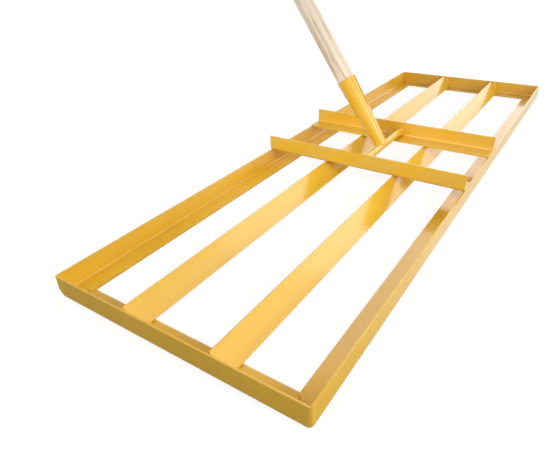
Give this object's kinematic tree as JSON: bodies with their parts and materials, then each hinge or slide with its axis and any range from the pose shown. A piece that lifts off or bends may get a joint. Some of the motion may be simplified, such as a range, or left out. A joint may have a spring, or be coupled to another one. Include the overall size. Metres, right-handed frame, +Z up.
{
  "type": "landscape rake",
  "caption": "Yellow lawn-levelling landscape rake: a welded angle-bar frame with tilted slats and a wooden handle on a swinging pivot.",
  "frame": {"origin": "middle of the frame's rectangle on the ground plane that its sole rests on", "axes": "+X along the frame's long rails, from the near end rail to the far end rail; +Y across the frame, to the left rail, the side that the handle leans to; +Z up from the ground"},
  "size_m": [1, 1.0287, 1.2811],
  "materials": {
    "yellow_paint": "glossy",
    "bare_steel": "satin",
    "pole_wood": "satin"
  },
  "bodies": {
    "frame": {"left_rail": "yellow_paint", "right_rail": "yellow_paint", "near_end_rail": "yellow_paint", "far_end_rail": "yellow_paint", "left_slat": "yellow_paint", "right_slat": "yellow_paint", "near_brace": "yellow_paint", "far_brace": "yellow_paint", "pivot_rod": "bare_steel", "near_boss": "yellow_paint", "far_boss": "yellow_paint", "corner_welds": "yellow_paint", "slat_welds": "yellow_paint", "brace_welds": "yellow_paint", "boss_welds": "yellow_paint"},
    "handle": {"pivot_sleeve": "yellow_paint", "handle_socket": "yellow_paint", "socket_weld": "yellow_paint", "wood_handle": "pole_wood", "handle_screw": "bare_steel"}
  },
  "joints": [
    {"name": "handle_swing", "type": "hinge", "parent": "frame", "child": "handle", "pos_m": [-0.018, -0.004, 0.03515], "axis": [1, 0, 0], "range_deg": [-50, 120]}
  ]
}
